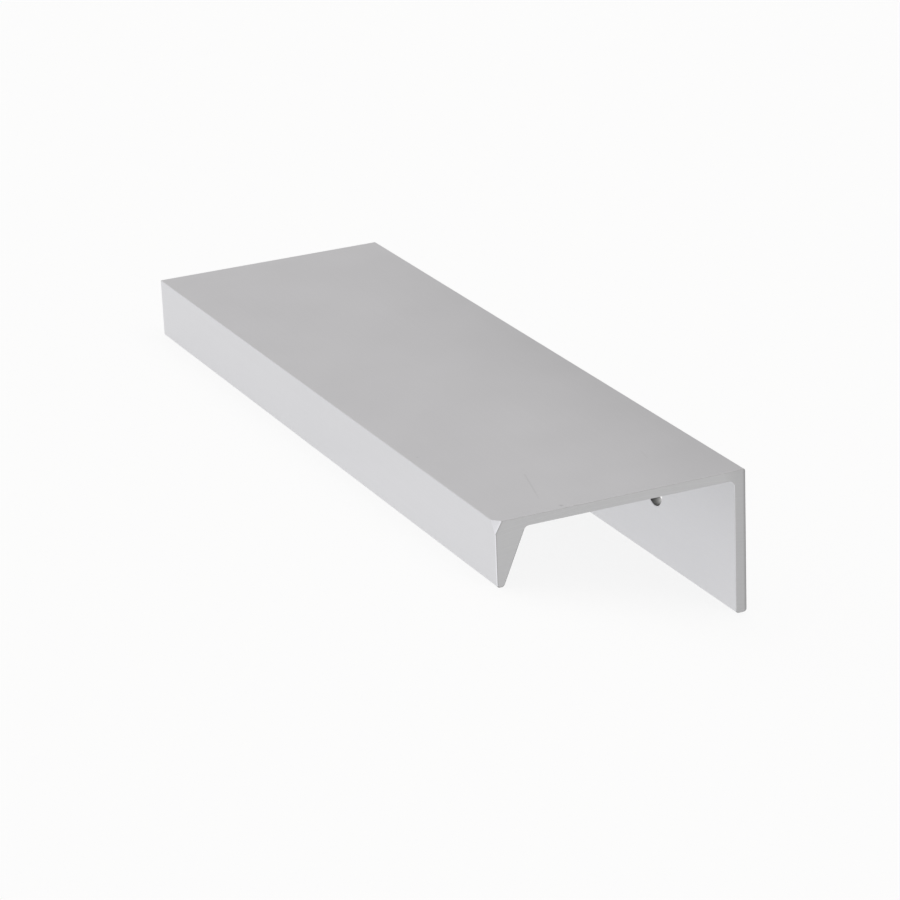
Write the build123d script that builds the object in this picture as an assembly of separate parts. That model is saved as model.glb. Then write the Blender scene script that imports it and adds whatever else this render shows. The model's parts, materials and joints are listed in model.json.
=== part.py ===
from build123d import *
from math import asin, atan2, degrees, hypot
import os

# Edge-pull handle: one aluminium extrusion, sawn to length and drilled. Its section has a flat
# plate that goes over the edge of a door, a flange behind the door that takes the screws, and a
# wedge-shaped lip in front that the fingers pull.
# The section is drawn the way it sits on a door: front of the lip at Y = 0, top of the plate at
# Z = 0. The finished handle is then laid the way it rests when nothing holds it, leaning
# forward on the tip of its lip and the foot of its flange.

# Driving dimensions in millimetres
length = 128.0
depth = 40.0
plate_thickness = 1.5
flange_height = 22.2
flange_thickness = 1.8
lip_height = 9.9
lip_root_width = 4.75
lip_tip_width = 1.1

# Radii of the section's corners
front_edge_radius = 0.15
back_edge_radius = 0.25
inner_corner_radius = 0.8
foot_radius = 0.5
lip_tip_radius = 0.5

# Screw holes, drilled through the flange
hole_diameter = 4.5
hole_spacing = 79.5
hole_drop = 11.25
drill_overrun = 1.0

# Filed corner, where the front edge meets the +X end: how far it goes along, back and down
corner_cut_length = 1.3
corner_cut_depth = 1.1
corner_cut_drop = 1.9

# What follows from the sizes. A round corner takes at most this share of the wall it ends.
wall_share = 0.45
channel_back = depth - flange_thickness
foot_round = min(foot_radius, wall_share * flange_thickness)
tip_round = min(lip_tip_radius, wall_share * lip_tip_width)


def section_outline():
    """Corners of the section as (Y, Z, radius), once round from the front top edge."""
    return [
        (0, 0, front_edge_radius),
        (depth, 0, back_edge_radius),
        (depth, -flange_height, foot_round),
        (channel_back, -flange_height, foot_round),
        (channel_back, -plate_thickness, inner_corner_radius),
        (lip_root_width, -plate_thickness, inner_corner_radius),
        (lip_tip_width, -lip_height, tip_round),
        (0, -lip_height, tip_round),
    ]


def extruded_profile():
    """The bar of section outline, centred on its length."""
    corners = section_outline()
    section = make_face(Polyline([(y, z) for y, z, _ in corners], close=True))
    for y, z, radius in corners:
        sharp_corner = section.vertices().sort_by_distance((y, z))[0]
        section = fillet(sharp_corner, radius)
    return extrude(Plane.YZ * section, amount=length / 2, both=True)


def drill(diameter):
    """One drill through the flange, at the middle of the handle's length."""
    reach = flange_thickness + 2 * drill_overrun
    place = Pos(0, depth - flange_thickness / 2, -hole_drop)
    return place * Rot(90, 0, 0) * Cylinder(diameter / 2, reach)


def file_corner(bar):
    """Take off the sharp corner at the front edge's +X end, with one flat facet."""
    on_front_edge = Vector(length / 2 - corner_cut_length, 0, 0)
    outwards = Vector(1 / corner_cut_length, -1 / corner_cut_depth, 1 / corner_cut_drop)
    return split(bar, bisect_by=Plane(on_front_edge, z_dir=outwards), keep=Keep.BOTTOM)


def resting_tilt():
    """Angle that brings the round lip tip and the flange's inner foot onto one level floor."""
    run = (channel_back + foot_round) - tip_round
    drop = (flange_height - foot_round) - (lip_height - tip_round)
    return atan2(drop, run) + asin((foot_round - tip_round) / hypot(run, drop))


def lay_on_floor(bar):
    """Lean the handle forward to its resting tilt, over the origin and down on the floor."""
    leaning = bar.rotate(Axis.X, degrees(resting_tilt()))
    box = leaning.bounding_box()
    return Pos(-box.center().X, -box.center().Y, -box.min.Z) * leaning


handle = extruded_profile()
for side in (-1, 1):
    handle -= Pos(side * hole_spacing / 2, 0, 0) * drill(hole_diameter)
handle = file_corner(handle)
handle = lay_on_floor(handle)

os.makedirs("parts", exist_ok=True)
export_step(handle, "parts/handle_profile.step")
print("resting tilt in degrees:", round(degrees(resting_tilt()), 3))
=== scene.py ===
import json
from math import asin, atan2, cos, hypot, radians, sin, tan

import bmesh
import bpy
from mathutils import Matrix, Vector


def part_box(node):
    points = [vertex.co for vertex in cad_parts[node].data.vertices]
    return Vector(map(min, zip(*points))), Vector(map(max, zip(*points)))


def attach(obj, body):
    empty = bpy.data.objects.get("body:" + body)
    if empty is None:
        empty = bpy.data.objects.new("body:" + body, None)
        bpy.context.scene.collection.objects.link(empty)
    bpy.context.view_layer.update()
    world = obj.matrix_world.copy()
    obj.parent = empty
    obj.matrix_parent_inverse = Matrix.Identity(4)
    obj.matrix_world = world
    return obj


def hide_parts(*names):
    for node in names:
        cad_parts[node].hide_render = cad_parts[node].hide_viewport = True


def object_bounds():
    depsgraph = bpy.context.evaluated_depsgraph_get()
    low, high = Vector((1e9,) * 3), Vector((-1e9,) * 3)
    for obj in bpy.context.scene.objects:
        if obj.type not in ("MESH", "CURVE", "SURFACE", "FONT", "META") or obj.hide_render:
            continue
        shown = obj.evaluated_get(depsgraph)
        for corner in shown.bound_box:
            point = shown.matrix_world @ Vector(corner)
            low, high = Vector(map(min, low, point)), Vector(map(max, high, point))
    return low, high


bl_info = {
    "name": "Edge-Pull Handle",
    "version": (1, 0, 0),
    "blender": (4, 5, 0),
    "location": "View3D > Sidebar > Handle",
    "description": "Models a sawn and drilled aluminium edge-pull handle on a pale studio floor",
    "category": "Add Mesh",
}

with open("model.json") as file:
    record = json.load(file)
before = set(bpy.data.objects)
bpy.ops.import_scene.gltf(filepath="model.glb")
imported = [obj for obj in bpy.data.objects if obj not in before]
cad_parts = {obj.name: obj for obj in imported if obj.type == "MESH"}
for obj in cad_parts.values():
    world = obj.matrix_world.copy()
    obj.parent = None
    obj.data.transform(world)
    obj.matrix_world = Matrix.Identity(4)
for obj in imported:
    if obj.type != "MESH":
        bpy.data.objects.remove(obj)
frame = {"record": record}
CAD_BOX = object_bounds()
NODE = "handle_profile"
PIECE = "handle_body"
MM = 0.001

# The section is drawn as it sits on a door: front of the lip at Y = 0, top of the plate at
# Z = 0, middle of the length at X = 0. At the end it is laid down the way it rests loose.

# How finely round shapes are modelled
ROUND_SEGMENTS = 8
BREAK_SEGMENTS = 3
DRILL_SIDES = 72
RIM_SIDES = 128
RIM_STEPS = 12

# The drill's length, in walls of the flange
DRILL_WALLS = 3

# Angles that tell edges and faces apart
FLAT = radians(0.5)
SAME_WAY = radians(1)
SECTION_EDGE = radians(25)
HOLE_EDGE = radians(60)
SMOOTH_EDGE = radians(40)
FACET_SPREAD = radians(30)
WALL_LEAN = radians(20)
BREAK_LEAN = radians(10)

# Shares of a unit normal that count as facing along an axis, and as leaning that way
FACING = 0.9
LEANING = 0.5

QUARTER_TURN = radians(90)

# Width of the camera's frame, in millimetres
SENSOR_WIDTH = 36


def screw_holes():
    """The screw holes that the record states."""
    mounts = frame["record"]["mounts"]
    return [mount for mount in mounts if mount["kind"] == "bore"]


class HandleSizes(bpy.types.PropertyGroup):
    """Sizes of the handle, as it sits on a door."""

    length: bpy.props.FloatProperty(
        name="Length",
        description="From sawn end to sawn end",
        default=CAD_BOX[1][0] - CAD_BOX[0][0],
        unit="LENGTH",
    )
    depth: bpy.props.FloatProperty(
        name="Depth",
        description="From the front of the lip to the back of the flange",
        default=40 * MM,
        unit="LENGTH",
    )
    plate_thickness: bpy.props.FloatProperty(
        name="Plate Thickness",
        description="Wall of the plate that covers the door's edge",
        default=1.5 * MM,
        unit="LENGTH",
    )
    flange_height: bpy.props.FloatProperty(
        name="Flange Height",
        description="From the top of the plate to the foot of the flange",
        default=22.2 * MM,
        unit="LENGTH",
    )
    flange_thickness: bpy.props.FloatProperty(
        name="Flange Thickness",
        description="Wall of the flange that takes the screws",
        default=1.8 * MM,
        unit="LENGTH",
    )
    lip_height: bpy.props.FloatProperty(
        name="Lip Height",
        description="From the top of the plate to the tip of the lip",
        default=9.9 * MM,
        unit="LENGTH",
    )
    lip_root_width: bpy.props.FloatProperty(
        name="Lip Root Width",
        description="Width of the lip where it leaves the plate",
        default=4.75 * MM,
        unit="LENGTH",
    )
    lip_tip_width: bpy.props.FloatProperty(
        name="Lip Tip Width",
        description="Width of the lip at its tip",
        default=1.1 * MM,
        unit="LENGTH",
    )
    front_edge_radius: bpy.props.FloatProperty(
        name="Front Edge Radius",
        description="Radius along the plate's front edge",
        default=0.15 * MM,
        unit="LENGTH",
    )
    back_edge_radius: bpy.props.FloatProperty(
        name="Back Edge Radius",
        description="Radius along the plate's back edge",
        default=0.25 * MM,
        unit="LENGTH",
    )
    inner_corner_radius: bpy.props.FloatProperty(
        name="Inner Corner Radius",
        description="Radius of the two inner corners under the plate",
        default=0.8 * MM,
        unit="LENGTH",
    )
    foot_radius: bpy.props.FloatProperty(
        name="Foot Radius",
        description="Radius along the foot of the flange",
        default=0.5 * MM,
        unit="LENGTH",
    )
    lip_tip_radius: bpy.props.FloatProperty(
        name="Lip Tip Radius",
        description="Radius along the tip of the lip",
        default=0.495 * MM,
        unit="LENGTH",
    )
    corner_cut: bpy.props.FloatVectorProperty(
        name="Filed Corner",
        description="How far the filed corner goes along, back and down",
        default=(1.3 * MM, 1.1 * MM, 1.9 * MM),
        unit="LENGTH",
    )
    deburr: bpy.props.FloatProperty(
        name="Deburr",
        description="Width of the broken edges at the sawn ends",
        default=0.1 * MM,
        unit="LENGTH",
    )
    hole_deburr: bpy.props.FloatProperty(
        name="Hole Deburr",
        description="Width of the broken rims of the screw holes",
        default=0.12 * MM,
        unit="LENGTH",
    )


class FinishSettings(bpy.types.PropertyGroup):
    """Colours and surface detail of the aluminium."""

    anodised_colour: bpy.props.FloatVectorProperty(
        name="Anodised Colour",
        description="Natural matt anodising on the extruded faces",
        default=(0.74, 0.74, 0.758),
        subtype="COLOR",
    )
    # Duller sawn metal, darkened further as painted shade on the sawn ends.
    sawn_shaded_colour: bpy.props.FloatVectorProperty(
        name="Sawn Shaded Colour",
        description="Duller metal on the sawn ends",
        default=(0.568, 0.568, 0.573),
        subtype="COLOR",
    )
    # Painted shade for the broken edges that face back and under the lip's tip.
    edge_shade_colour: bpy.props.FloatVectorProperty(
        name="Edge Shade Colour",
        description="Thin dark burr at the lip's tip and the flange's back edge",
        default=(0.22, 0.22, 0.22),
        subtype="COLOR",
    )
    drilled_colour: bpy.props.FloatVectorProperty(
        name="Drilled Colour",
        description="Bare wall of the screw holes",
        default=(0.8, 0.81, 0.8),
        subtype="COLOR",
    )
    # Bright fresh metal of the filed corner, also used as a painted highlight on the front edge
    # breaks.
    filed_highlight_colour: bpy.props.FloatVectorProperty(
        name="Filed Highlight Colour",
        description="Fresh metal of the filed corner and the filed front edges",
        default=(0.81, 0.81, 0.84),
        subtype="COLOR",
    )
    anodised_roughness: bpy.props.FloatProperty(
        name="Anodised Roughness",
        description="Roughness of the etched and anodised faces",
        default=0.42,
        subtype="FACTOR",
    )
    pit_size: bpy.props.FloatProperty(
        name="Pit Size",
        description="Size of the fine pits left by the etching bath",
        default=0.09 * MM,
        unit="LENGTH",
    )
    streak_width: bpy.props.FloatProperty(
        name="Streak Width",
        description="Width of the faint lines drawn by the extrusion die",
        default=0.35 * MM,
        unit="LENGTH",
    )
    streak_length: bpy.props.FloatProperty(
        name="Streak Length",
        description="Length over which a die line fades",
        default=60 * MM,
        unit="LENGTH",
    )
    saw_pitch: bpy.props.FloatProperty(
        name="Saw Pitch",
        description="Spacing of the curved marks left by the saw's teeth",
        default=0.22 * MM,
        unit="LENGTH",
    )
    saw_radius: bpy.props.FloatProperty(
        name="Saw Radius",
        description="Radius of the saw blade",
        default=150 * MM,
        unit="LENGTH",
    )


class StageSettings(bpy.types.PropertyGroup):
    """Camera, lamps and floor."""

    camera_azimuth: bpy.props.FloatProperty(
        name="Camera Azimuth",
        description="Round from the handle's front towards its filed end",
        default=radians(65.292),
        subtype="ANGLE",
    )
    camera_elevation: bpy.props.FloatProperty(
        name="Camera Elevation",
        description="Above the plane of the handle's plate",
        default=radians(20.686),
        subtype="ANGLE",
    )
    camera_roll: bpy.props.FloatProperty(
        name="Camera Roll",
        description="Turn about the line of sight",
        default=radians(-2.381),
        subtype="ANGLE",
    )
    camera_distance: bpy.props.FloatProperty(
        name="Camera Distance",
        description="From the camera to the point it looks at",
        default=559.03 * MM,
        unit="LENGTH",
    )
    camera_target: bpy.props.FloatVectorProperty(
        name="Camera Target",
        description="Point it looks at, measured on the handle as it sits on a door",
        default=(2.992 * MM, 21.724 * MM, -13.309 * MM),
        unit="LENGTH",
    )
    camera_lens: bpy.props.FloatProperty(
        name="Camera Lens",
        description="Focal length in millimetres for a 36 mm wide frame",
        default=142.48,
    )
    floor_colour: bpy.props.FloatVectorProperty(
        name="Floor Colour",
        description="Colour of the pale floor and backdrop",
        default=(0.98, 0.98, 0.98),
        subtype="COLOR",
    )
    floor_radius: bpy.props.FloatProperty(
        name="Floor Radius",
        description="From the handle to the backdrop's wall",
        default=3.0,
        unit="LENGTH",
    )
    wall_height: bpy.props.FloatProperty(
        name="Wall Height",
        description="Height of the backdrop's wall",
        default=0.5,
        unit="LENGTH",
    )
    white_to_camera: bpy.props.FloatProperty(
        name="White to Camera",
        description="Share of plain white in the floor that the camera sees",
        default=0.85,
        subtype="FACTOR",
    )
    white_to_metal: bpy.props.FloatProperty(
        name="White to Metal",
        description="Share of plain white in the floor that the metal reflects",
        default=0.8,
        subtype="FACTOR",
    )
    sky_colour: bpy.props.FloatVectorProperty(
        name="Sky Colour",
        description="Colour of the even light from all round",
        default=(1.0, 0.985, 0.975),
        subtype="COLOR",
    )
    horizon_strength: bpy.props.FloatProperty(
        name="Horizon Strength",
        description="Level of the light from low down, where 1 is white",
        default=0.547,
    )
    zenith_strength: bpy.props.FloatProperty(
        name="Zenith Strength",
        description="Level of the light from overhead, where 1 is white",
        default=0.9,
    )
    low_light: bpy.props.FloatProperty(
        name="Low Light",
        description="Elevation up to which the light has its level at the horizon",
        default=radians(38),
        subtype="ANGLE",
    )
    high_light: bpy.props.FloatProperty(
        name="High Light",
        description="Elevation from which the light has its level overhead",
        default=radians(62),
        subtype="ANGLE",
    )
    key_azimuth: bpy.props.FloatProperty(
        name="Key Azimuth",
        description="Where the key lamp stands, round from the filed end towards the back",
        default=radians(250),
        subtype="ANGLE",
    )
    key_elevation: bpy.props.FloatProperty(
        name="Key Elevation",
        description="Height of the key lamp above the floor",
        default=radians(50),
        subtype="ANGLE",
    )
    key_spread: bpy.props.FloatProperty(
        name="Key Spread",
        description="How wide the key lamp looks, for soft shadows",
        default=radians(100),
        subtype="ANGLE",
    )
    key_strength: bpy.props.FloatProperty(
        name="Key Strength",
        description="Light of the key lamp, in watts for each square metre",
        default=0.6,
    )


def sizes():
    return bpy.context.scene.handle_sizes


def outline(size):
    """Corners of the section as (y, z, radius), once round from the front top edge."""
    back = size.depth - size.flange_thickness
    return [
        (0.0, 0.0, size.front_edge_radius),
        (size.depth, 0.0, size.back_edge_radius),
        (size.depth, -size.flange_height, size.foot_radius),
        (back, -size.flange_height, size.foot_radius),
        (back, -size.plate_thickness, size.inner_corner_radius),
        (size.lip_root_width, -size.plate_thickness, size.inner_corner_radius),
        (size.lip_tip_width, -size.lip_height, size.lip_tip_radius),
        (0.0, -size.lip_height, size.lip_tip_radius),
    ]


def resting_tilt(size):
    """Angle that brings the lip's round tip and the flange's inner foot onto one floor."""
    tip, foot = size.lip_tip_radius, size.foot_radius
    run = size.depth - size.flange_thickness + foot - tip
    drop = size.flange_height - foot - size.lip_height + tip
    return atan2(drop, run) + asin((foot - tip) / hypot(run, drop))


def resting_place(size):
    """From the section as it sits on a door to the handle as it lies on the floor."""
    tilt = resting_tilt(size)
    edge, tip = size.front_edge_radius, size.lip_tip_radius
    front = edge * (cos(tilt) + sin(tilt) - 1)
    lowest = tip * sin(tilt) + (tip - size.lip_height) * cos(tilt) - tip
    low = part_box(NODE)[0]
    shift = Matrix.Translation((0.0, low[1] - front, low[2] - lowest))
    return shift @ Matrix.Rotation(tilt, 4, "X")


def deselect_all():
    if bpy.context.object and bpy.context.object.mode != "OBJECT":
        bpy.ops.object.mode_set(mode="OBJECT")
    bpy.ops.object.select_all(action="DESELECT")


def pick(piece, kind, wanted):
    """In edit mode, select only the verts, edges or faces that pass the test."""
    bpy.ops.mesh.select_mode(type={"verts": "VERT", "edges": "EDGE", "faces": "FACE"}[kind])
    bpy.ops.mesh.select_all(action="DESELECT")
    mesh = bmesh.from_edit_mesh(piece.data)
    for element in getattr(mesh, kind):
        if wanted(element):
            element.select_set(True)
    mesh.select_flush(True)
    bmesh.update_edit_mesh(piece.data)


def near(a, b, slack=0.001 * MM):
    return abs(a - b) < slack


def cut_across(place, normal, **options):
    bpy.ops.mesh.select_all(action="SELECT")
    bpy.ops.mesh.bisect(plane_co=place, plane_no=normal, **options)


def extrude_down(distance):
    bpy.ops.mesh.extrude_region_move(TRANSFORM_OT_translate={"value": (0, 0, -distance)})


def underside_between(low, high):
    """Test for the plate's underside faces whose middle lies between two depths."""
    return lambda face: face.normal.z < -FACING and low < face.calc_center_median().y < high


def model_section(size):
    """The plate as a slab, with the lip and the flange drawn down out of its underside."""
    back = size.depth - size.flange_thickness
    root, wall = size.lip_root_width, size.plate_thickness
    bpy.ops.mesh.primitive_cube_add(
        size=1,
        location=(0, size.depth / 2, -wall / 2),
        scale=(size.length, size.depth, wall),
    )
    piece = bpy.context.object
    piece.name = PIECE
    bpy.ops.object.transform_apply(location=True, rotation=False, scale=True)
    bpy.ops.object.mode_set(mode="EDIT")
    cut_across((0, root, 0), (0, 1, 0))
    cut_across((0, back, 0), (0, 1, 0))
    pick(piece, "faces", underside_between(back, size.depth))
    extrude_down(size.flange_height - wall)
    pick(piece, "faces", underside_between(0, root))
    extrude_down(size.lip_height - wall)
    pick(piece, "verts", lambda v: near(v.co.y, root) and near(v.co.z, -size.lip_height))
    bpy.ops.transform.translate(value=(0, size.lip_tip_width - root, 0))
    bpy.ops.mesh.select_all(action="SELECT")
    bpy.ops.mesh.dissolve_limited(angle_limit=FLAT)
    return piece


def round_corners(piece, size):
    """Round each lengthwise edge of the section to its own radius."""
    corners = outline(size)
    for index, (y, z, radius) in enumerate(corners):
        before = Vector(corners[index - 1][:2]) - Vector((y, z))
        after = Vector(corners[(index + 1) % len(corners)][:2]) - Vector((y, z))
        setback = radius / tan(before.angle(after) / 2)

        def lengthwise(edge):
            return all(near(v.co.y, y) and near(v.co.z, z) for v in edge.verts)

        pick(piece, "edges", lengthwise)
        bpy.ops.mesh.bevel(
            offset=setback, offset_type="OFFSET", segments=ROUND_SEGMENTS, profile=0.5
        )


def filed_facet(size):
    """A point on the filed corner, and the way it faces."""
    along, deep, down = size.corner_cut
    outwards = Vector((1 / along, -1 / deep, 1 / down)).normalized()
    return Vector((size.length / 2 - along, 0, 0)), outwards


def faces_along(face, direction, slack):
    return face.normal.dot(direction) > cos(slack)


def file_corner(piece, size):
    """Take off the sharp corner at the front edge's +X end, and break its edge to the end."""
    on_facet, outwards = filed_facet(size)
    bpy.ops.object.mode_set(mode="EDIT")
    cut_across(on_facet, outwards, use_fill=True, clear_outer=True)

    def filed_to_sawn(edge):
        sides = (outwards, Vector((1, 0, 0)))
        return all(
            any(faces_along(face, side, SAME_WAY) for face in edge.link_faces) for side in sides
        )

    pick(piece, "edges", filed_to_sawn)
    bpy.ops.mesh.bevel(offset=size.deburr / 2, segments=1)
    bpy.ops.object.mode_set(mode="OBJECT")


def drill_holes(piece, size, place):
    """Cut each screw hole with a drill-sized cylinder."""
    level = place.inverted()
    for hole in screw_holes():
        deselect_all()
        bpy.ops.mesh.primitive_cylinder_add(
            vertices=DRILL_SIDES,
            radius=hole["dims"]["r_mm"] * MM,
            depth=DRILL_WALLS * size.flange_thickness,
            location=level @ Vector(hole["pos_m"]),
            rotation=(QUARTER_TURN, 0, 0),
        )
        drill = bpy.context.object
        deselect_all()
        piece.select_set(True)
        bpy.context.view_layer.objects.active = piece
        cut = piece.modifiers.new("drilled hole", "BOOLEAN")
        cut.object = drill
        cut.operation = "DIFFERENCE"
        cut.solver = "EXACT"
        bpy.ops.object.modifier_apply(modifier=cut.name)
        bpy.data.objects.remove(drill)


def break_edges(piece, width, sharper_than):
    """Break every edge that turns by more than the given angle."""
    broken = piece.modifiers.new("broken edges", "BEVEL")
    broken.width = width
    broken.segments = BREAK_SEGMENTS
    broken.limit_method = "ANGLE"
    broken.angle_limit = sharper_than
    broken.use_clamp_overlap = True
    bpy.ops.object.modifier_apply(modifier=broken.name)


def smooth_normals(piece):
    """Smooth the round edges and keep the flats flat."""
    bpy.ops.object.shade_smooth_by_angle(angle=SMOOTH_EDGE)
    weighted = piece.modifiers.new("flat faces lead", "WEIGHTED_NORMAL")
    weighted.keep_sharp = True
    bpy.ops.object.modifier_apply(modifier=weighted.name)


def add_node(tree, kind, inputs=None, **settings):
    """One shader node, with its settings and the inputs that stay unlinked."""
    node = tree.nodes.new("ShaderNode" + kind)
    for name, value in settings.items():
        setattr(node, name, value)
    for name, value in (inputs or {}).items():
        node.inputs[name].default_value = value
    return node


def calculate(tree, operation, *terms, clamp=False):
    """A Math node on sockets and plain numbers."""
    node = add_node(tree, "Math", operation=operation, use_clamp=clamp)
    for socket, term in zip(node.inputs, terms):
        if isinstance(term, bpy.types.NodeSocket):
            tree.links.new(term, socket)
        else:
            socket.default_value = term
    return node.outputs[0]


def product(tree, *factors):
    """Several sockets or plain numbers multiplied together."""
    total = 1.0
    for factor in factors:
        total = calculate(tree, "MULTIPLY", total, factor)
    return total


def combine(tree, operation, *terms, result="Vector"):
    """A Vector Math node on sockets and plain vectors."""
    node = add_node(tree, "VectorMath", operation=operation)
    for socket, term in zip(node.inputs, terms):
        if isinstance(term, bpy.types.NodeSocket):
            tree.links.new(term, socket)
        else:
            socket.default_value = term
    return node.outputs[result]


def new_group(name, inputs, outputs):
    """An empty node group with named sockets, and its input and output nodes."""
    group = bpy.data.node_groups.new(name, "ShaderNodeTree")
    for label, kind, default in inputs:
        socket = group.interface.new_socket(label, in_out="INPUT", socket_type="NodeSocket" + kind)
        if default is not None:
            socket.default_value = default
    for label, kind in outputs:
        group.interface.new_socket(label, in_out="OUTPUT", socket_type="NodeSocket" + kind)
    entry = group.nodes.new("NodeGroupInput")
    finish = group.nodes.new("NodeGroupOutput")
    return group, entry.outputs, finish.inputs


def use_group(tree, name, **inputs):
    """Place a node group and fill its inputs with sockets or plain values."""
    node = add_node(tree, "Group", node_tree=bpy.data.node_groups[name])
    for label, term in inputs.items():
        socket = node.inputs[label.replace("_", " ").title()]
        if isinstance(term, bpy.types.NodeSocket):
            tree.links.new(term, socket)
        else:
            socket.default_value = term
    return node.outputs


def make_section_place(size):
    """Group: where a point lies on the section as it sits on a door, in millimetres."""
    group, _, finish = new_group("section_place", [], [("Place", "Vector")])
    coordinates = add_node(group, "TexCoord")
    place = resting_place(size)
    turn_back = add_node(
        group,
        "Mapping",
        vector_type="TEXTURE",
        inputs={
            "Location": place.to_translation(),
            "Rotation": place.to_euler(),
            "Scale": (MM, MM, MM),
        },
    )
    group.links.new(coordinates.outputs["Object"], turn_back.inputs["Vector"])
    group.links.new(turn_back.outputs[0], finish["Place"])


def make_die_lines():
    """Group: faint lines along the length, as the extrusion die draws them."""
    group, entry, finish = new_group(
        "die_lines",
        [("Place", "Vector", None), ("Width", "Float", 0.35), ("Length", "Float", 60.0)],
        [("Lines", "Float")],
    )
    stretch = add_node(group, "CombineXYZ")
    along = calculate(group, "DIVIDE", 1.0, entry["Length"])
    across = calculate(group, "DIVIDE", 1.0, entry["Width"])
    group.links.new(along, stretch.inputs["X"])
    group.links.new(across, stretch.inputs["Y"])
    group.links.new(across, stretch.inputs["Z"])
    noise = add_node(group, "TexNoise", inputs={"Scale": 1.0, "Detail": 3.0, "Roughness": 0.6})
    group.links.new(
        combine(group, "MULTIPLY", entry["Place"], stretch.outputs[0]), noise.inputs["Vector"]
    )
    group.links.new(noise.outputs["Fac"], finish["Lines"])


def make_etch():
    """Group: fine matt pits from the etching bath, the same in all directions."""
    group, entry, finish = new_group(
        "etch",
        [("Place", "Vector", None), ("Pit Size", "Float", 0.09)],
        [("Pits", "Float")],
    )
    noise = add_node(group, "TexNoise", inputs={"Detail": 2.0, "Roughness": 0.55})
    group.links.new(entry["Place"], noise.inputs["Vector"])
    group.links.new(calculate(group, "DIVIDE", 1.0, entry["Pit Size"]), noise.inputs["Scale"])
    group.links.new(noise.outputs["Fac"], finish["Pits"])


def make_scratch():
    """Group: one straight scratch, or a speck where both its ends are the same point."""
    group, entry, finish = new_group(
        "scratch",
        [
            ("Place", "Vector", None),
            ("Start", "Vector", (0, 0, 0)),
            ("End", "Vector", (1, 0, 0)),
            ("Width", "Float", 0.1),
        ],
        [("Mask", "Float")],
    )
    from_start = combine(group, "SUBTRACT", entry["Place"], entry["Start"])
    whole = combine(group, "SUBTRACT", entry["End"], entry["Start"])
    done = combine(group, "DOT_PRODUCT", from_start, whole, result="Value")
    square = combine(group, "DOT_PRODUCT", whole, whole, result="Value")
    above_zero = calculate(group, "MAXIMUM", square, 1e-6)
    share = calculate(group, "DIVIDE", done, above_zero, clamp=True)
    nearest = add_node(group, "VectorMath", operation="SCALE")
    group.links.new(whole, nearest.inputs[0])
    group.links.new(share, nearest.inputs["Scale"])
    offset = combine(group, "SUBTRACT", from_start, nearest.outputs[0])
    distance = combine(group, "LENGTH", offset, result="Value")
    fade = calculate(group, "DIVIDE", distance, entry["Width"])
    group.links.new(calculate(group, "SUBTRACT", 1.0, fade, clamp=True), finish["Mask"])


def make_saw_marks():
    """Group: shallow curved marks, all round the centre of one saw blade."""
    group, entry, finish = new_group(
        "saw_marks",
        [
            ("Place", "Vector", None),
            ("Blade Centre", "Vector", (0, 0, 0)),
            ("Pitch", "Float", 0.22),
        ],
        [("Marks", "Float")],
    )
    from_centre = combine(group, "DISTANCE", entry["Place"], entry["Blade Centre"], result="Value")
    noise = add_node(
        group,
        "TexNoise",
        noise_dimensions="1D",
        inputs={"Scale": 1.0, "Detail": 2.0, "Roughness": 0.7},
    )
    group.links.new(calculate(group, "DIVIDE", from_centre, entry["Pitch"]), noise.inputs["W"])
    group.links.new(noise.outputs["Fac"], finish["Marks"])


def make_groups(size):
    make_section_place(size)
    make_die_lines()
    make_etch()
    make_scratch()
    make_saw_marks()


def new_material(name):
    """A material with its node tree and its shader."""
    material = bpy.data.materials.new(name)
    material.use_nodes = True
    return material, material.node_tree, material.node_tree.nodes["Principled BSDF"]


def between(tree, mask, low, high):
    """A value that goes from one number to another as the mask goes from 0 to 1."""
    node = add_node(tree, "MapRange", inputs={"To Min": low, "To Max": high})
    tree.links.new(mask, node.inputs["Value"])
    return node.outputs["Result"]


def shade(tree, colour, level):
    """A colour made darker or lighter by a level that changes over the surface."""
    node = add_node(tree, "VectorMath", operation="SCALE")
    node.inputs[0].default_value = colour
    tree.links.new(level, node.inputs["Scale"])
    return node.outputs[0]


def dress_metal(tree, shader, colour, roughness, relief, depth):
    """Give the shader its colour, its roughness and a relief of so many metres."""
    tree.links.new(colour, shader.inputs["Base Color"])
    tree.links.new(roughness, shader.inputs["Roughness"])
    shader.inputs["Metallic"].default_value = 1.0
    bump = add_node(tree, "Bump", inputs={"Strength": 1.0, "Distance": depth})
    tree.links.new(relief, bump.inputs["Height"])
    tree.links.new(bump.outputs[0], shader.inputs["Normal"])


# Wear that the photograph shows on the top of the plate, in millimetres along and back from
# the front edge: start, end and width of each mark, and how much darker it is than the plate.
TOP_MARKS = (
    ((49.6, 11.9, 0), (56.8, 10.0, 0), 0.21, 0.075),
    ((56.8, 10.0, 0), (59.0, 9.4, 0), 0.21, 0.04),
    ((62.96, 10.88, 0), (63.05, 10.9, 0), 0.42, 0.2),
    ((35.2, 1.64, 0), (35.3, 1.6, 0), 0.25, 0.1),
    ((49.9, 30.7, 0), (52.9, 30.1, 0), 0.25, 0.03),
)


def all_marks(tree, place):
    """How much every scratch and speck darkens the plate."""
    darkest = 0.0
    for start, end, width, strength in TOP_MARKS:
        mark = use_group(tree, "scratch", place=place, start=start, end=end, width=width)["Mask"]
        mark = calculate(tree, "MULTIPLY", mark, strength)
        darkest = calculate(tree, "MAXIMUM", darkest, mark)
    return darkest


def ramp_along(tree, place, axis, start, end):
    """A value that climbs from 0 to 1 between two places along one axis."""
    parts = add_node(tree, "SeparateXYZ")
    tree.links.new(place, parts.inputs[0])
    node = add_node(tree, "MapRange", inputs={"From Min": start, "From Max": end})
    tree.links.new(parts.outputs[axis], node.inputs["Value"])
    return node.outputs["Result"]


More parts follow.
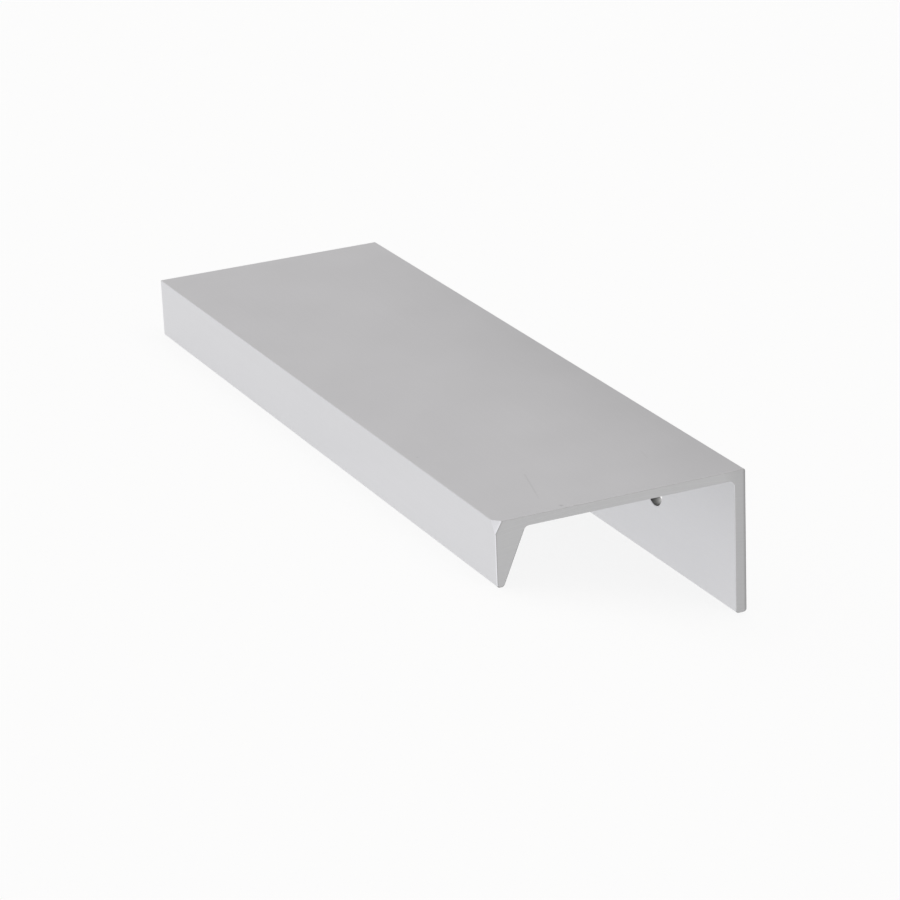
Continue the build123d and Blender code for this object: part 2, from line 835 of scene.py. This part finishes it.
def painted_back_shade(tree, place, size):
    """Painted shade on the plate's top, darker towards its back edge where the flange joins,
    fainter at the far end.
    """
    depth = size.depth / MM
    edge = size.back_edge_radius / MM
    start = 0.35 * depth
    steepness = 1.8
    at_far_end = 0.1
    swell = calculate(tree, "POWER", ramp_along(tree, place, "Y", start, depth), steepness)
    on_top = ramp_along(tree, place, "Z", -2 * edge, -edge)
    half = size.length / MM / 2
    strength = between(tree, ramp_along(tree, place, "X", -half, 0), at_far_end, 1.0)
    return product(tree, swell, on_top, strength)


def painted_corner_shade(tree, place, size):
    """Painted shade in the inner corner under the plate, which thins out down the flange."""
    depth = size.depth / MM
    wall = size.flange_thickness / MM
    plate = size.plate_thickness / MM
    lowest = -10 * plate
    steepness = 1.5
    shade_fade = calculate(tree, "POWER", ramp_along(tree, place, "Z", lowest, -plate), steepness)
    under_plate = ramp_along(tree, place, "Z", -plate / 3, -2 * plate / 3)
    behind_door = ramp_along(tree, place, "Y", depth / 2, depth - wall)
    inside = ramp_along(tree, place, "Y", depth - wall / 3, depth - 2 * wall / 3)
    return product(tree, shade_fade, under_plate, behind_door, inside)


def anodised_material(size, finish):
    """Matt natural anodising: even satin grey, fine pits, faint die lines and a few marks, with
    painted shade towards the plate's back edge and in the inner corner under the plate.
    """
    cloud_size = 14.0
    back_shade_level = 0.88
    corner_shade_level = 0.92
    faint = (0.985, 1.015)
    cloud_swing = 0.03
    pit_swing = 0.04
    line_relief = 0.5
    mark_relief = -30.0
    relief_depth = 0.0015 * MM

    material, tree, shader = new_material("anodised_aluminium_matt")
    place = use_group(tree, "section_place")["Place"]
    lines = use_group(
        tree,
        "die_lines",
        place=place,
        width=finish.streak_width / MM,
        length=finish.streak_length / MM,
    )["Lines"]
    pits = use_group(tree, "etch", place=place, pit_size=finish.pit_size / MM)["Pits"]
    clouds = use_group(tree, "etch", place=place, pit_size=cloud_size)["Pits"]
    marks = all_marks(tree, place)

    # Painted shade darkens the top towards its back edge and the inner corner under the plate; die
    # lines, clouds and marks are the metal's own tone.
    level = product(
        tree,
        between(tree, painted_back_shade(tree, place, size), 1.0, back_shade_level),
        between(tree, painted_corner_shade(tree, place, size), 1.0, corner_shade_level),
        between(tree, lines, *faint),
        between(tree, clouds, *faint),
        calculate(tree, "SUBTRACT", 1.0, marks),
    )
    colour = shade(tree, finish.anodised_colour, level)
    rough = finish.anodised_roughness
    roughness = calculate(
        tree,
        "ADD",
        between(tree, clouds, rough - cloud_swing, rough + cloud_swing),
        between(tree, pits, -pit_swing, pit_swing),
    )
    relief = calculate(tree, "MULTIPLY_ADD", lines, line_relief, pits)
    relief = calculate(tree, "MULTIPLY_ADD", marks, mark_relief, relief)
    dress_metal(tree, shader, colour, roughness, relief, relief_depth)
    return material


def off_painted_edge_lines(tree, place, size):
    """From 0 on the painted thin dark lines of shade along the end's filed, front and back edges
    to 1 off them.
    """
    on_facet, outwards = filed_facet(size)
    from_facet = combine(tree, "SUBTRACT", place, on_facet / MM)
    height = combine(tree, "DOT_PRODUCT", from_facet, outwards, result="Value")
    from_corner = calculate(tree, "DIVIDE", height, -hypot(outwards.y, outwards.z))
    parts = add_node(tree, "SeparateXYZ")
    tree.links.new(place, parts.inputs[0])
    from_front = parts.outputs["Y"]
    from_back = calculate(tree, "SUBTRACT", size.depth / MM, from_front)
    edge = size.deburr / MM
    # Painted shade: how far the thin dark lines reach in from each edge.
    reaches = (
        (from_corner, -edge, 3 * edge),
        (from_front, edge, 3 * edge),
        (from_back, edge, 5 * edge),
    )
    clear = 1.0
    for distance, start, end in reaches:
        ramp = add_node(tree, "MapRange", inputs={"From Min": start, "From Max": end})
        tree.links.new(distance, ramp.inputs["Value"])
        clear = calculate(tree, "MINIMUM", ramp.outputs["Result"], clear)
    return clear


def sawn_material(size, finish):
    """Duller sawn metal with the curved marks of the saw, with painted shade on the thin end of
    the flange and in thin dark lines along the outer edges, and a painted light line along the top
    edge.
    """
    flange_end_shade = 0.91
    edge_line_shade = 0.72
    top_edge_light = 1.04
    mark_levels = (0.95, 1.05)
    rough = (0.44, 0.56)
    relief_depth = 0.003 * MM

    material, tree, shader = new_material("sawn_aluminium")
    place = use_group(tree, "section_place")["Place"]
    blade_centre = (0, size.depth / MM / 2, -finish.saw_radius / MM)
    marks = use_group(
        tree, "saw_marks", place=place, blade_centre=blade_centre, pitch=finish.saw_pitch / MM
    )["Marks"]
    pits = use_group(tree, "etch", place=place, pit_size=finish.pit_size / MM)["Pits"]

    wall = size.flange_thickness / MM
    back = size.depth / MM - wall
    edge = size.deburr / MM
    # Painted shade: the thin end of the flange is made darker.
    on_flange = ramp_along(tree, place, "Y", back - wall, back + wall / 4)
    # Painted light: the end's top edge is made lighter.
    at_top = ramp_along(tree, place, "Z", -edge, 0)
    # Painted shade on the flange's end and along the outer edges, painted light along the top
    # edge; the saw marks are the metal's own tone.
    level = product(
        tree,
        between(tree, on_flange, 1.0, flange_end_shade),
        between(tree, off_painted_edge_lines(tree, place, size), edge_line_shade, 1.0),
        between(tree, at_top, 1.0, top_edge_light),
        between(tree, marks, *mark_levels),
    )
    colour = shade(tree, finish.sawn_shaded_colour, level)
    relief = calculate(tree, "ADD", marks, pits)
    dress_metal(tree, shader, colour, between(tree, pits, *rough), relief, relief_depth)
    return material


def edge_shade_material(finish):
    """Painted shade: the thin dark lines along the sawn ends' broken edges at the lip's tip and
    the flange's back.
    """
    nick_size = 0.3
    nick_levels = (0.7, 1.3)
    rough = (0.4, 0.6)
    relief_depth = 0.01 * MM

    material, tree, shader = new_material("rolled_aluminium")
    place = use_group(tree, "section_place")["Place"]
    nicks = use_group(tree, "etch", place=place, pit_size=nick_size)["Pits"]
    colour = shade(tree, finish.edge_shade_colour, between(tree, nicks, *nick_levels))
    dress_metal(tree, shader, colour, between(tree, nicks, *rough), nicks, relief_depth)
    return material


def drilled_material(size, finish):
    """Bare wall with the drill's rings, in painted shade that lightens towards the back, with
    painted light along the bottom.
    """
    ring_stretch = (0.05, 1.0, 0.05)
    ring_width = 0.12
    ring_levels = (0.85, 1.15)
    hole_shade_levels = (0.1, 0.38)
    steepness = 3.0
    bottom_light_level = 3.5
    rough = (0.4, 0.6)
    relief_depth = 0.004 * MM

    material, tree, shader = new_material("drilled_aluminium")
    place = use_group(tree, "section_place")["Place"]
    stretched = combine(tree, "MULTIPLY", place, ring_stretch)
    rings = use_group(tree, "etch", place=stretched, pit_size=ring_width)["Pits"]
    depth = size.depth / MM
    deep = ramp_along(tree, place, "Y", depth - size.flange_thickness / MM, depth)
    deep = calculate(tree, "POWER", deep, steepness)
    hole = screw_holes()[0]
    radius = hole["dims"]["r_mm"]
    bottom = (resting_place(size).inverted() @ Vector(hole["pos_m"])).z / MM - radius
    low = ramp_along(tree, place, "Z", bottom + radius / 4, bottom)
    # Painted shade inside the hole, lighter towards the back, and painted light along its bottom;
    # the rings are the metal's own tone.
    level = product(
        tree,
        between(tree, deep, *hole_shade_levels),
        between(tree, rings, *ring_levels),
        between(tree, low, 1.0, bottom_light_level),
    )
    colour = shade(tree, finish.drilled_colour, calculate(tree, "MINIMUM", level, 1.0))
    dress_metal(tree, shader, colour, between(tree, rings, *rough), rings, relief_depth)
    return material


def filed_highlight_material(size, finish):
    """Fresh filed metal with fine file lines, with a painted highlight along its edge to the sawn
    end.
    """
    line_stretch = (1.0, 1.0, 0.08)
    line_width = 0.08
    line_levels = (0.96, 1.04)
    end_highlight_level = 1.1
    rough = (0.32, 0.42)
    relief_depth = 0.001 * MM

    material, tree, shader = new_material("filed_aluminium")
    place = use_group(tree, "section_place")["Place"]
    stretched = combine(tree, "MULTIPLY", place, line_stretch)
    lines = use_group(tree, "etch", place=stretched, pit_size=line_width)["Pits"]
    half = size.length / MM / 2
    edge = size.deburr / MM
    at_end = ramp_along(tree, combine(tree, "ABSOLUTE", place), "X", half - 3 * edge, half - edge)
    # Painted highlight along the edge to the sawn end; the file lines are the metal's own tone.
    level = product(
        tree, between(tree, at_end, 1.0, end_highlight_level), between(tree, lines, *line_levels)
    )
    colour = shade(tree, finish.filed_highlight_colour, level)
    dress_metal(tree, shader, colour, between(tree, lines, *rough), lines, relief_depth)
    return material


def broken_edge_finish(face, size):
    """Painted highlight on the breaks facing front, which take the filed finish, painted shade on
    those facing back and under the lip's tip, else sawn.
    """
    back, up = Vector((face.normal.y, face.normal.z)).normalized()
    at_tip = face.center.y < size.lip_root_width and face.center.z < -size.lip_height / 2
    if back < -FACING and face.center.y < size.deburr:
        return "filed_aluminium"
    if back > FACING or (at_tip and up < -LEANING):
        return "rolled_aluminium"
    return "sawn_aluminium"


def assign_finishes(piece, size, place, finish):
    """Give each face its finish: die, file, saw or drill, with painted highlight and painted shade
    on the broken edges at the ends.
    """
    materials = (
        anodised_material(size, finish),
        filed_highlight_material(size, finish),
        sawn_material(size, finish),
        edge_shade_material(finish),
        drilled_material(size, finish),
    )
    for material in materials:
        piece.data.materials.append(material)
    slots = piece.data.materials.keys()
    level = place.inverted()
    holes = [level @ Vector(hole["pos_m"]) for hole in screw_holes()]
    bore = max(hole["dims"]["r_mm"] for hole in screw_holes()) * MM
    outwards = filed_facet(size)[1]

    def in_hole(face):
        across = [face.center - hole for hole in holes]
        return any(hypot(gap.x, gap.z) < bore + size.deburr / 4 for gap in across)

    for face in piece.data.polygons:
        at_end = abs(face.center.x) > size.length / 2 - size.deburr
        if faces_along(face, outwards, FACET_SPREAD):
            name = "filed_aluminium"
        elif abs(face.normal.x) > cos(SAME_WAY):
            name = "sawn_aluminium"
        elif abs(face.normal.y) < sin(WALL_LEAN) and in_hole(face):
            name = "drilled_aluminium"
        elif at_end and abs(face.normal.x) > sin(BREAK_LEAN):
            name = broken_edge_finish(face, size)
        else:
            name = "anodised_aluminium_matt"
        face.material_index = slots.index(name)


class HANDLE_OT_add_body(bpy.types.Operator):
    """Model the extruded handle, lay it on the floor and give it its finish"""

    bl_idname = "handle.add_body"
    bl_label = "Add Handle Body"

    def execute(self, context):
        size = sizes()
        place = resting_place(size)
        make_groups(size)
        deselect_all()
        piece = model_section(size)
        round_corners(piece, size)
        bpy.ops.object.mode_set(mode="OBJECT")
        break_edges(piece, size.deburr, sharper_than=SECTION_EDGE)
        drill_holes(piece, size, place)
        break_edges(piece, size.hole_deburr, sharper_than=HOLE_EDGE)
        file_corner(piece, size)
        smooth_normals(piece)
        assign_finishes(piece, size, place, context.scene.finish_settings)
        piece.matrix_world = place
        bpy.ops.object.transform_apply(location=True, rotation=True, scale=True)
        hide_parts(NODE)
        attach(piece, "root")
        return {"FINISHED"}


def white_share(tree, shares):
    """How much plain white each kind of ray sees in the floor."""
    light_path = add_node(tree, "LightPath")
    total = 0.0
    for ray, share in shares.items():
        total = calculate(tree, "MULTIPLY_ADD", light_path.outputs[ray], share, total)
    return total


def floor_material(stage):
    """Pale floor that shows a light shadow to the camera and a fuller one to the metal."""
    material, tree, _ = new_material("pale_floor")
    diffuse = add_node(tree, "BsdfDiffuse", inputs={"Color": (*stage.floor_colour, 1)})
    white = add_node(tree, "Emission")
    mix = add_node(tree, "MixShader")
    share = white_share(
        tree,
        {
            "Is Camera Ray": stage.white_to_camera,
            "Is Glossy Ray": stage.white_to_metal,
            "Is Transmission Ray": stage.white_to_metal,
        },
    )
    tree.links.new(share, mix.inputs["Fac"])
    tree.links.new(diffuse.outputs[0], mix.inputs[1])
    tree.links.new(white.outputs[0], mix.inputs[2])
    tree.links.new(mix.outputs[0], tree.nodes["Material Output"].inputs["Surface"])
    return material


def add_cove(stage):
    """A round floor whose rim curves up into a low wall, so that no horizon shows."""
    flat = stage.floor_radius - stage.wall_height
    stride = stage.wall_height * QUARTER_TURN / RIM_STEPS
    bpy.ops.mesh.primitive_circle_add(vertices=RIM_SIDES, radius=flat, fill_type="NGON")
    cove = bpy.context.object
    cove.name = "floor"
    bpy.ops.object.mode_set(mode="EDIT")
    bpy.ops.mesh.select_mode(type="EDGE")
    bpy.ops.mesh.select_all(action="SELECT")
    reach = flat
    for step in range(RIM_STEPS):
        slope = QUARTER_TURN * (step + 0.5) / RIM_STEPS
        grown = reach + stride * cos(slope)
        bpy.ops.mesh.extrude_edges_move()
        bpy.ops.transform.resize(value=(grown / reach, grown / reach, 1))
        bpy.ops.transform.translate(value=(0, 0, stride * sin(slope)))
        reach = grown
    bpy.ops.object.mode_set(mode="OBJECT")
    bpy.ops.object.shade_smooth_by_angle(angle=SMOOTH_EDGE)
    cove.data.materials.append(floor_material(stage))


def add_sky(stage):
    """Slightly warm light from all round, stronger overhead as from a wide soft box."""
    world = bpy.data.worlds.new("studio")
    world.use_nodes = True
    tree = world.node_tree
    sky = tree.nodes["Background"]
    sky.inputs["Color"].default_value = (*stage.sky_colour, 1)
    direction = add_node(tree, "TexCoord").outputs["Generated"]
    overhead = ramp_along(tree, direction, "Z", sin(stage.low_light), sin(stage.high_light))
    level = between(tree, overhead, stage.horizon_strength, stage.zenith_strength)
    tree.links.new(level, sky.inputs["Strength"])
    bpy.context.scene.world = world


def add_key_lamp(stage):
    """One wide lamp, high on the left, which throws the soft shadow to the right."""
    towards = Vector((cos(stage.key_azimuth), sin(stage.key_azimuth), tan(stage.key_elevation)))
    turn = towards.to_track_quat("Z", "Y").to_euler()
    bpy.ops.object.light_add(type="SUN", rotation=turn)
    lamp = bpy.context.object
    lamp.name = "key"
    lamp.data.energy = stage.key_strength
    lamp.data.angle = stage.key_spread


def add_camera(stage, size):
    """The camera stands where the photograph was taken from."""
    bpy.ops.object.camera_add()
    camera = bpy.context.object
    camera.name = "photograph"
    camera.data.sensor_width = SENSOR_WIDTH
    camera.data.lens = stage.camera_lens
    camera.data.clip_start = 10 * MM
    turn = (
        Matrix.Rotation(stage.camera_azimuth, 4, "Z")
        @ Matrix.Rotation(QUARTER_TURN - stage.camera_elevation, 4, "X")
        @ Matrix.Rotation(stage.camera_roll, 4, "Z")
    )
    back = Matrix.Translation((0, 0, stage.camera_distance))
    aim = Matrix.Translation(stage.camera_target)
    camera.matrix_world = resting_place(size) @ aim @ turn @ back
    bpy.context.scene.camera = camera


class HANDLE_OT_add_stage(bpy.types.Operator):
    """Put the floor, the lamp, the sky and the camera round the handle"""

    bl_idname = "handle.add_stage"
    bl_label = "Add Stage"

    def execute(self, context):
        stage = context.scene.stage_settings
        deselect_all()
        add_cove(stage)
        add_sky(stage)
        add_key_lamp(stage)
        add_camera(stage, sizes())
        context.scene.view_settings.view_transform = "Standard"
        return {"FINISHED"}


class HANDLE_PT_panel(bpy.types.Panel):
    """Lists the handle's operators"""

    bl_idname = "HANDLE_PT_panel"
    bl_label = "Edge-Pull Handle"
    bl_space_type = "VIEW_3D"
    bl_region_type = "UI"
    bl_category = "Handle"

    def draw(self, context):
        self.layout.operator(HANDLE_OT_add_body.bl_idname)
        self.layout.operator(HANDLE_OT_add_stage.bl_idname)


CLASSES = (
    HandleSizes,
    FinishSettings,
    StageSettings,
    HANDLE_OT_add_body,
    HANDLE_OT_add_stage,
    HANDLE_PT_panel,
)


def register():
    for entry in CLASSES:
        bpy.utils.register_class(entry)
    bpy.types.Scene.handle_sizes = bpy.props.PointerProperty(type=HandleSizes)
    bpy.types.Scene.finish_settings = bpy.props.PointerProperty(type=FinishSettings)
    bpy.types.Scene.stage_settings = bpy.props.PointerProperty(type=StageSettings)


def unregister():
    del bpy.types.Scene.handle_sizes
    del bpy.types.Scene.finish_settings
    del bpy.types.Scene.stage_settings
    for entry in reversed(CLASSES):
        bpy.utils.unregister_class(entry)


def main():
    register()
    bpy.ops.handle.add_body()
    bpy.ops.handle.add_stage()


if __name__ == "__main__":
    main()
